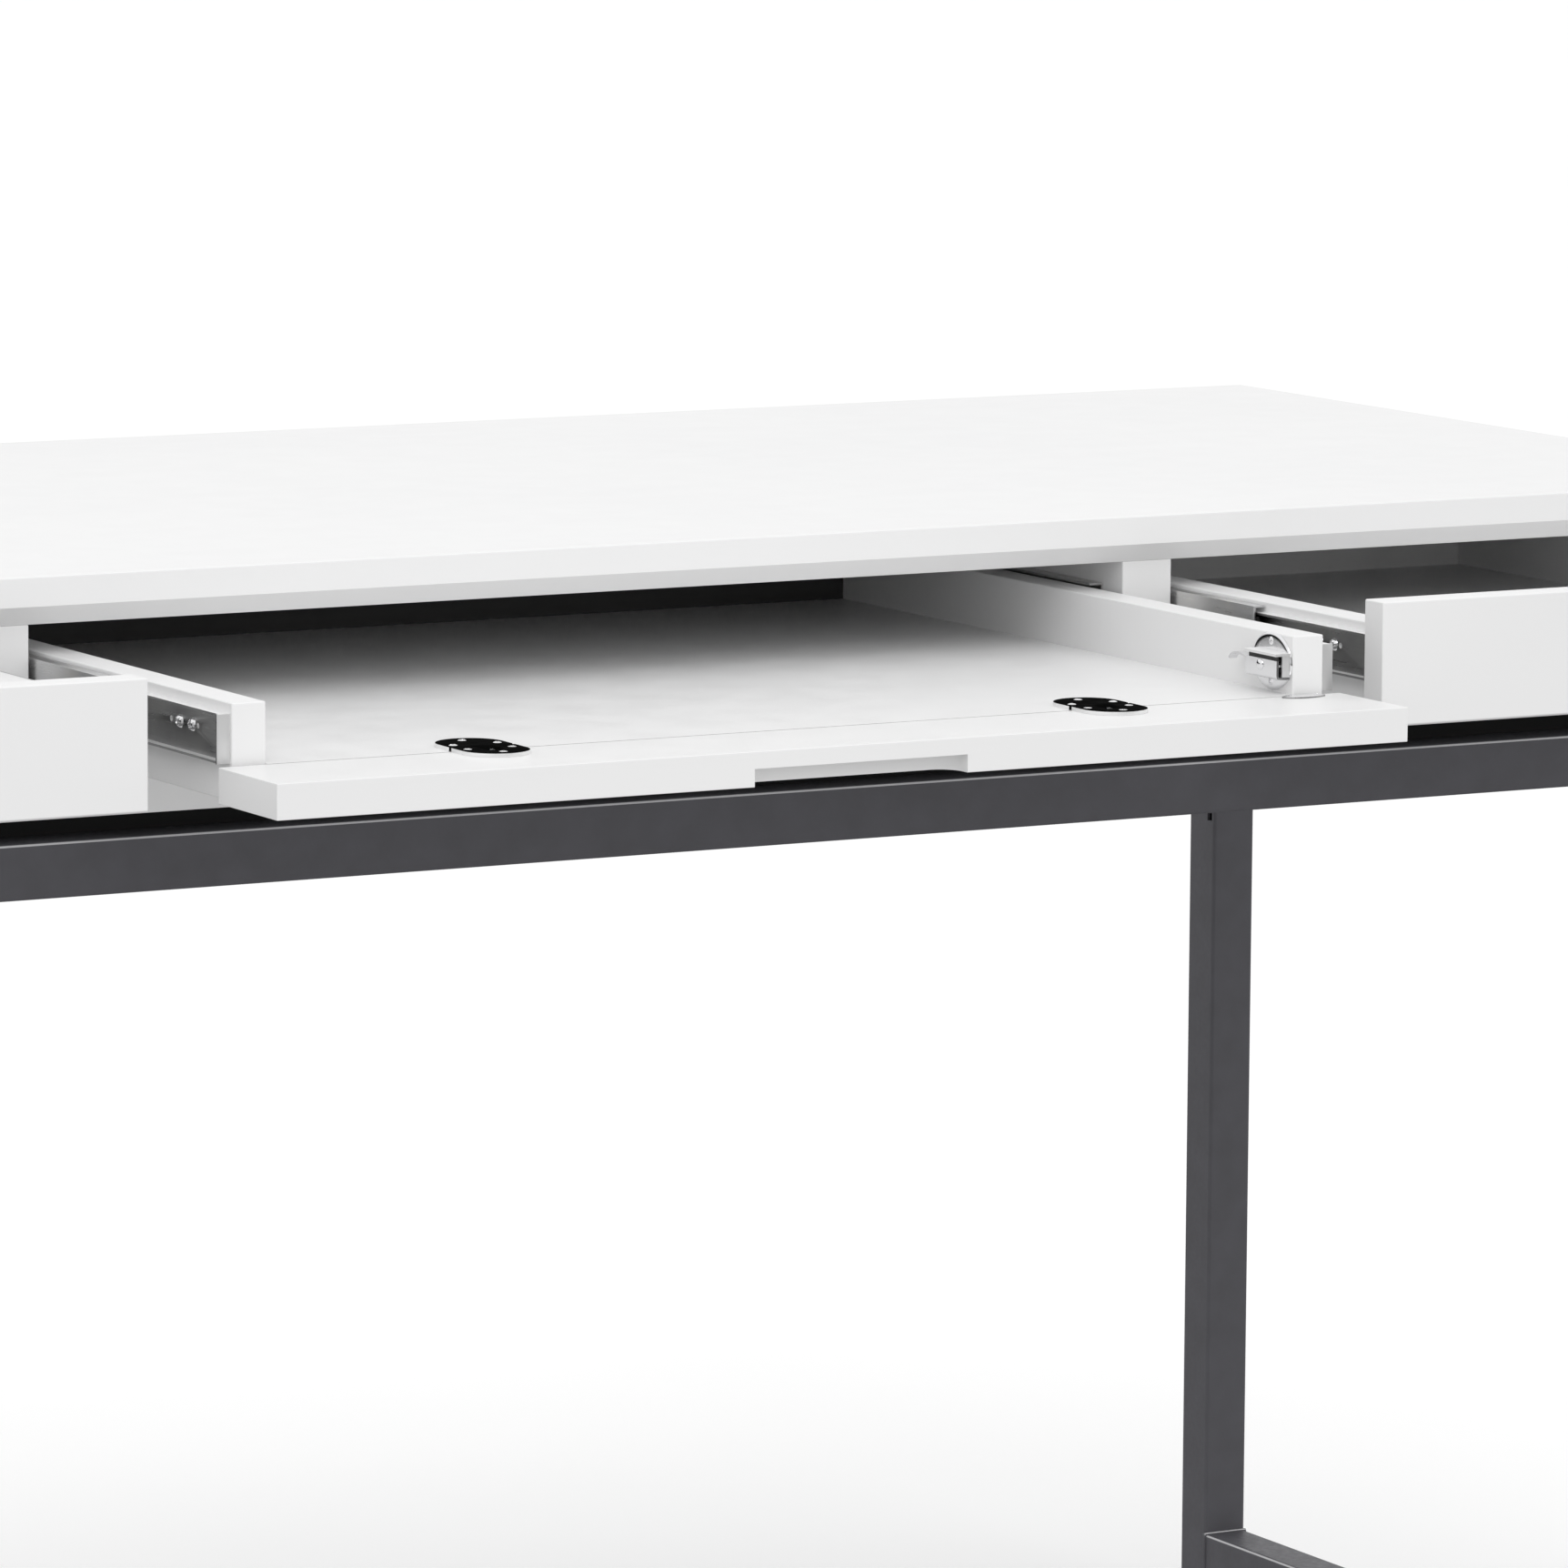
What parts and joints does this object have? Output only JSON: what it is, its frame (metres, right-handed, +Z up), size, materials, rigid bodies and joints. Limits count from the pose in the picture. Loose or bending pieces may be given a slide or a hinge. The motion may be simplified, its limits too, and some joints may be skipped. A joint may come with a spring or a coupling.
{
  "type": "computer desk with keyboard tray",
  "caption": "White lacquered writing desk on a grey square-tube steel frame, with a pull-out keyboard tray with a drop-down front flap between two drawers.",
  "frame": {"origin": "on the floor, under the middle of the whole desk as pictured, tray and drawers part open and flap let down", "axes": "+X along the desk to the user's right, -Y towards the user, +Z up"},
  "size_m": [1.524, 0.88, 0.75],
  "materials": {
    "white_lacquer": "satin white lacquer on board",
    "frame_coat": "fine dark grey powder coat",
    "spacer_black": "matt black stain",
    "zinc_steel": "bright zinc plate",
    "bright_chrome": "polished chrome plate",
    "black_nickel": "polished black nickel plate",
    "black_plastic": "moulded black plastic"
  },
  "bodies": {
    "desk": {"desktop": "white_lacquer", "case_bottom": "white_lacquer", "left_end_panel": "white_lacquer", "right_end_panel": "white_lacquer", "left_divider": "white_lacquer", "right_divider": "white_lacquer", "back_panel": "white_lacquer", "spacer_board": "spacer_black", "front_rail": "frame_coat", "back_rail": "frame_coat", "side_rails": "frame_coat", "cross_rails": "frame_coat", "front_legs": "frame_coat", "back_legs": "frame_coat", "stretchers": "frame_coat", "glides": "black_plastic", "frame_bolts": "zinc_steel", "tray_outer_slides": "zinc_steel", "left_drawer_outer_slides": "zinc_steel", "right_drawer_outer_slides": "zinc_steel", "case_slide_screws": "zinc_steel"},
    "tray": {"tray_bottom": "white_lacquer", "tray_left_side": "white_lacquer", "tray_right_side": "white_lacquer", "tray_back": "spacer_black", "tray_inner_slides": "zinc_steel", "tray_slide_screws": "zinc_steel", "tray_hinge_leaves": "black_nickel", "tray_hinge_screws": "bright_chrome", "catch_body": "bright_chrome", "catch_screws": "bright_chrome", "catch_rivet": "bright_chrome"},
    "tray_runner": {"tray_middle_slides": "zinc_steel", "tray_ball_cages": "zinc_steel", "tray_slide_buffers": "black_plastic"},
    "flap": {"keyboard_flap": "white_lacquer", "flap_hinge_leaves": "black_nickel", "hinge_pins": "zinc_steel", "flap_hinge_screws": "bright_chrome", "strike_plate": "bright_chrome", "strike_screws": "bright_chrome"},
    "catch_lever": {"catch_lever": "bright_chrome"},
    "left_drawer": {"left_drawer_front": "white_lacquer", "left_drawer_sides": "white_lacquer", "left_drawer_back": "white_lacquer", "left_drawer_bottom": "white_lacquer", "left_drawer_inner_slides": "zinc_steel", "left_drawer_slide_screws": "zinc_steel"},
    "left_drawer_runner": {"left_drawer_middle_slides": "zinc_steel", "left_drawer_ball_cages": "zinc_steel", "left_drawer_slide_buffers": "black_plastic"},
    "right_drawer": {"right_drawer_front": "white_lacquer", "right_drawer_sides": "white_lacquer", "right_drawer_back": "white_lacquer", "right_drawer_bottom": "white_lacquer", "right_drawer_inner_slides": "zinc_steel", "right_drawer_slide_screws": "zinc_steel"},
    "right_drawer_runner": {"right_drawer_middle_slides": "zinc_steel", "right_drawer_ball_cages": "zinc_steel", "right_drawer_slide_buffers": "black_plastic"}
  },
  "joints": [
    {"name": "tray_slide", "type": "slide", "parent": "desk", "child": "tray", "axis": [0, -1, 0], "range_m": [-0.233, 0.167]},
    {"name": "tray_runner_slide", "type": "slide", "parent": "desk", "child": "tray_runner", "axis": [0, -1, 0], "range_m": [-0.1165, 0.0835]},
    {"name": "flap_hinge", "type": "hinge", "parent": "tray", "child": "flap", "pos_m": [0, -0.386, 0.6695], "axis": [-1, 0, 0], "range_deg": [0, 90]},
    {"name": "catch_lever_pivot", "type": "hinge", "parent": "tray", "child": "catch_lever", "pos_m": [0.2831, -0.357, 0.6945], "axis": [-1, 0, 0], "range_deg": [0, 8], "stiffness_Nm_per_rad": 0.02},
    {"name": "left_drawer_slide", "type": "slide", "parent": "desk", "child": "left_drawer", "axis": [0, -1, 0], "range_m": [-0.206, 0.194]},
    {"name": "left_drawer_runner_slide", "type": "slide", "parent": "desk", "child": "left_drawer_runner", "axis": [0, -1, 0], "range_m": [-0.103, 0.097]},
    {"name": "right_drawer_slide", "type": "slide", "parent": "desk", "child": "right_drawer", "axis": [0, -1, 0], "range_m": [-0.206, 0.194]},
    {"name": "right_drawer_runner_slide", "type": "slide", "parent": "desk", "child": "right_drawer_runner", "axis": [0, -1, 0], "range_m": [-0.103, 0.097]}
  ],
  "couplings": [
    {"joint": "tray_runner_slide", "follows": "tray_slide", "ratio": 0.5},
    {"joint": "left_drawer_runner_slide", "follows": "left_drawer_slide", "ratio": 0.5},
    {"joint": "right_drawer_runner_slide", "follows": "right_drawer_slide", "ratio": 0.5}
  ]
}
